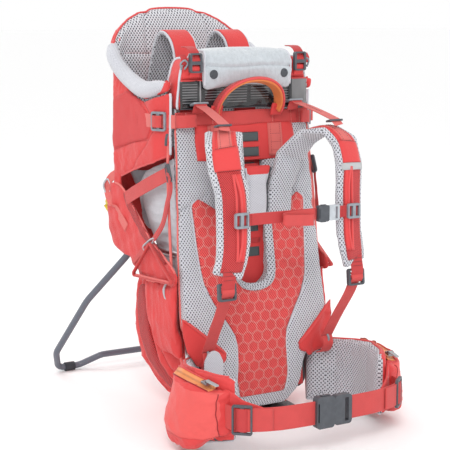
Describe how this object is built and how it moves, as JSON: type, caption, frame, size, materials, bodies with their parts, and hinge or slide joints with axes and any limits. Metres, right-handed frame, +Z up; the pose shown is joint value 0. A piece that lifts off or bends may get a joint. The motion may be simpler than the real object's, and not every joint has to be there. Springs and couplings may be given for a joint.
{
  "type": "baby carrier backpack",
  "caption": "Framed child carrier backpack with padded cabin and headrest, padded shoulder harness and hip belt, lower bag, and a fold-out tubular stand",
  "frame": {"origin": "on the ground under the base plate, in the middle plane, near where the plane of the back frame meets the base", "axes": "+Z up, -Y towards the wearer's side (harness and hip belt), +Y towards the child's cabin and the stand, +X to the right seen from the worn side"},
  "size_m": [0.4388, 0.7172, 0.742],
  "materials": {
    "frame_aluminium": "satin drawn tube",
    "stand_enamel": "satin blue-grey enamel",
    "foot_rubber": "matt",
    "dark_plastic": "fine-textured moulding",
    "grey_plastic": "fine-textured moulding",
    "hinge_steel": "satin",
    "board_plastic": "extruded sheet",
    "grey_mesh": "spacer mesh with staggered holes",
    "red_mesh": "honeycomb air mesh",
    "coral_fabric": "plain-weave nylon",
    "coral_webbing": "ribbed polyester webbing",
    "label_film": "smooth printed patch, left blank",
    "grey_fleece": "short-pile fleece",
    "snap_plastic": "smooth",
    "seat_fabric": "silver-grey nylon",
    "zip_metal": "satin",
    "pull_cord": "cord with moulded grip"
  },
  "bodies": {
    "root": {"back_board": "board_plastic", "back_mesh_panel": "red_mesh", "back_pad": "grey_mesh", "base_plate": "dark_plastic", "belt_slider_frames": "grey_plastic", "belt_webbing": "coral_webbing", "cabin_wall": "coral_fabric", "child_harness_buckle": "dark_plastic", "child_straps": "grey_mesh", "chin_pad": "grey_fleece", "chin_pad_buckles": "dark_plastic", "chin_pad_snaps": "snap_plastic", "compression_buckles": "grey_plastic", "compression_straps": "coral_webbing", "entry_buckles": "dark_plastic", "entry_straps": "coral_webbing", "frame_cross_tube": "frame_aluminium", "frame_main_tube": "frame_aluminium", "frame_side_arms": "frame_aluminium", "grip_strips": "dark_plastic", "headrest": "grey_mesh", "hip_pockets": "coral_fabric", "hip_wings": "grey_mesh", "kickstand_hinges": "dark_plastic", "kickstand_pins": "hinge_steel", "label_panel": "label_film", "lifter_rings": "dark_plastic", "load_lifter_straps": "coral_webbing", "lower_bag": "coral_fabric", "lower_straps": "coral_webbing", "seat_pad": "seat_fabric", "seat_sling": "seat_fabric", "side_panels": "coral_fabric", "side_pockets": "coral_fabric", "top_band": "coral_webbing", "top_box": "coral_fabric", "waist_buckle_plug": "dark_plastic", "waist_buckle_socket": "dark_plastic"},
    "kickstand": {"kickstand": "stand_enamel", "kickstand_feet": "foot_rubber"},
    "harness": {"yoke_plate": "board_plastic", "yoke_pad": "red_mesh", "shoulder_pad_left": "grey_mesh", "shoulder_pad_right": "grey_mesh", "strap_adjusters": "dark_plastic"},
    "chest_strap": {"chest_webbing": "coral_webbing", "chest_sliders": "dark_plastic", "chest_buckle_socket": "dark_plastic", "chest_buckle_plug": "dark_plastic"},
    "chest_tab_upper": {"chest_tab_upper": "dark_plastic"},
    "chest_tab_lower": {"chest_tab_lower": "dark_plastic"},
    "waist_tab_upper": {"waist_tab_upper": "dark_plastic"},
    "waist_tab_lower": {"waist_tab_lower": "dark_plastic"},
    "grab_handle": {"grab_handle": "coral_webbing"},
    "zipper_slider_left": {"zipper_slider_left": "zip_metal"},
    "zipper_slider_right": {"zipper_slider_right": "zip_metal"},
    "zipper_pull_left": {"zipper_pull_left": "pull_cord"},
    "zipper_pull_right": {"zipper_pull_right": "pull_cord"},
    "stirrup_left": {"stirrup_left": "coral_webbing"},
    "stirrup_right": {"stirrup_right": "coral_webbing"}
  },
  "joints": [
    {"name": "kickstand_fold", "type": "hinge", "parent": "root", "child": "kickstand", "pos_m": [0, 0.19, 0.302], "axis": [1, 0, 0], "range_deg": [-50, 0]},
    {"name": "harness_height", "type": "slide", "parent": "root", "child": "harness", "axis": [0, 0.1045, 0.9945], "range_m": [-0.06, 0.02], "deforming": ["load_lifter_straps", "lower_straps"]},
    {"name": "chest_strap_height", "type": "slide", "parent": "harness", "child": "chest_strap", "axis": [0, 0.05, 0.9987], "range_m": [-0.025, 0.025]},
    {"name": "chest_tab_upper_press", "type": "slide", "parent": "chest_strap", "child": "chest_tab_upper", "axis": [0, 0, -1], "range_m": [0, 0.0015], "stiffness_N_per_m": 400},
    {"name": "chest_tab_lower_press", "type": "slide", "parent": "chest_strap", "child": "chest_tab_lower", "axis": [0, 0, 1], "range_m": [0, 0.0015], "stiffness_N_per_m": 400},
    {"name": "waist_tab_upper_press", "type": "slide", "parent": "root", "child": "waist_tab_upper", "axis": [0, 0, -1], "range_m": [0, 0.0025], "stiffness_N_per_m": 600},
    {"name": "waist_tab_lower_press", "type": "slide", "parent": "root", "child": "waist_tab_lower", "axis": [0, 0, 1], "range_m": [0, 0.0025], "stiffness_N_per_m": 600},
    {"name": "grab_handle_flop", "type": "hinge", "parent": "root", "child": "grab_handle", "pos_m": [0, 0.014, 0.549], "axis": [1, 0, 0], "range_deg": [0, 60]},
    {"name": "zipper_right_travel", "type": "slide", "parent": "root", "child": "zipper_slider_right", "axis": [0.1635, 0.9809, 0.1051], "range_m": [0, 0.07]},
    {"name": "zipper_left_travel", "type": "slide", "parent": "root", "child": "zipper_slider_left", "axis": [-0.1635, 0.9809, 0.1051], "range_m": [0, 0.07]},
    {"name": "zipper_pull_right_lift", "type": "hinge", "parent": "zipper_slider_right", "child": "zipper_pull_right", "pos_m": [0.18669, -0.17587, 0.13198], "axis": [-0.9864, 0.1644, 0], "range_deg": [0, 150]},
    {"name": "zipper_pull_left_lift", "type": "hinge", "parent": "zipper_slider_left", "child": "zipper_pull_left", "pos_m": [-0.18669, -0.17587, 0.13198], "axis": [-0.9864, -0.1644, 0], "range_deg": [0, 150]},
    {"name": "stirrup_right_swing", "type": "hinge", "parent": "root", "child": "stirrup_right", "pos_m": [0.1615, 0.066, 0.322], "axis": [0, -1, 0], "range_deg": [0, 60]},
    {"name": "stirrup_left_swing", "type": "hinge", "parent": "root", "child": "stirrup_left", "pos_m": [-0.1615, 0.066, 0.322], "axis": [0, 1, 0], "range_deg": [0, 60]}
  ]
}
